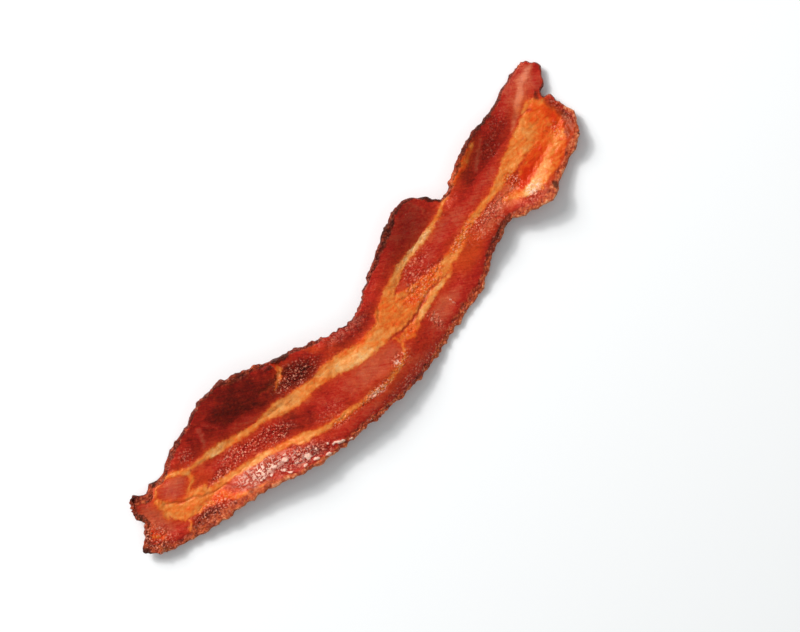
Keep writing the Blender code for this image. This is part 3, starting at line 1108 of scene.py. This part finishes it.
def fried_flesh():
    g = Graph("fried_flesh")
    p = shared_patterns(g)
    colour = lean_colour(g, p)
    for coat in (with_fat, with_crust, with_shine, with_burns):
        colour = coat(g, p, colour)
    g.put(g.shader.inputs["Base Color"], colour)
    g.put(g.shader.inputs["Roughness"], roughness(g, p))
    g.put(g.shader.inputs["Normal"], fine_relief(g, p))
    for name, value in FLESH_SHADER.items():
        g.shader.inputs[name].default_value = value
    return g.material


def strip():
    mesh = skin_mesh()
    mesh.materials.append(fried_flesh())
    piece = bpy.data.objects.new("fried_strip", mesh)
    bpy.context.scene.collection.objects.link(piece)
    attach(piece, "root")
    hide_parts(NODE)


FLOOR_SIZE = 8.0
FLOOR_COLOUR = (0.9, 0.9, 0.9, 1.0)
FLOOR_ROUGHNESS = 0.9
FLOOR_SPECULAR = 0.1


def floor():
    bpy.ops.mesh.primitive_plane_add(size=FLOOR_SIZE, location=(0, 0, 0))
    plane = bpy.context.object
    plane.name = "floor"
    g = Graph("floor_white")
    g.shader.inputs["Base Color"].default_value = FLOOR_COLOUR
    g.shader.inputs["Roughness"].default_value = FLOOR_ROUGHNESS
    g.shader.inputs["Specular IOR Level"].default_value = FLOOR_SPECULAR
    plane.data.materials.append(g.material)


# Light comes mostly from the strip's +Y side: a broad lamp, and a small one that makes glints.
LIGHT_HEIGHT = 39.0  # degrees above the floor
LIGHT_AWAY = 1.2  # metres
KEY_SIZE = 0.75
KEY_POWER = 12.2
GLINT_SIZE = 0.16
GLINT_POWER = 5.0
SKY_LOW = 0.28  # the sky's brightness near the floor, and overhead
SKY_HIGH = 0.52
SKY_TOP = 0.8  # how high the sky reaches its full brightness, from 0 at the floor to 1 overhead
SKY_COLOUR = (0.96, 1.0, 1.01, 1.0)


def lamp(name, size, power):
    """A round lamp on the strip's +Y side, aimed at the origin."""
    light = bpy.data.lights.new(name, "AREA")
    light.shape = "DISK"
    light.size = size
    light.energy = power
    holder = bpy.data.objects.new(name, light)
    bpy.context.scene.collection.objects.link(holder)
    height = math.radians(LIGHT_HEIGHT)
    place = Vector((0, LIGHT_AWAY * math.cos(height), LIGHT_AWAY * math.sin(height)))
    holder.location = place
    holder.rotation_euler = (-place).to_track_quat("-Z", "Y").to_euler()


def sky():
    world = bpy.data.worlds.new("studio")
    bpy.context.scene.world = world
    world.use_nodes = True
    tree = world.node_tree
    coordinates = tree.nodes.new("ShaderNodeTexCoord")
    split = tree.nodes.new("ShaderNodeSeparateXYZ")
    tree.links.new(coordinates.outputs["Generated"], split.inputs[0])
    fade = tree.nodes.new("ShaderNodeMapRange")
    tree.links.new(split.outputs["Z"], fade.inputs["Value"])
    fade.inputs["From Min"].default_value = 0.0
    fade.inputs["From Max"].default_value = SKY_TOP
    fade.inputs["To Min"].default_value = SKY_LOW
    fade.inputs["To Max"].default_value = SKY_HIGH
    tree.links.new(fade.outputs[0], tree.nodes["Background"].inputs["Strength"])
    tree.nodes["Background"].inputs["Color"].default_value = SKY_COLOUR


# The camera looks straight down, turned so that the strip lies diagonally.
CAMERA_TURN = 48.53  # degrees from the picture's right to the strip's +X
CAMERA_LENS = 100.0
SENSOR = 36.0
VIEW_WIDTH = 246.15 * MM  # what the picture is wide, at the strip's height
VIEW_CENTRE = (7.82, -16.29, 4.0)  # in the plan's millimetres


def camera():
    turn = math.radians(CAMERA_TURN)
    data = bpy.data.cameras.new("camera")
    data.lens = CAMERA_LENS
    data.sensor_width = SENSOR
    holder = bpy.data.objects.new("camera", data)
    bpy.context.scene.collection.objects.link(holder)
    distance = VIEW_WIDTH * CAMERA_LENS / SENSOR
    place = Vector((np.array(VIEW_CENTRE) + plan_shift()) * MM) + Vector((0, 0, distance))
    holder.matrix_world = Matrix.Translation(place) @ Matrix.Rotation(-turn, 4, "Z")
    bpy.context.scene.camera = holder


def main():
    bpy.context.scene.view_settings.view_transform = "Standard"
    camera()
    lamp("key", KEY_SIZE, KEY_POWER)
    lamp("glint", GLINT_SIZE, GLINT_POWER)
    sky()
    floor()
    strip()


main()
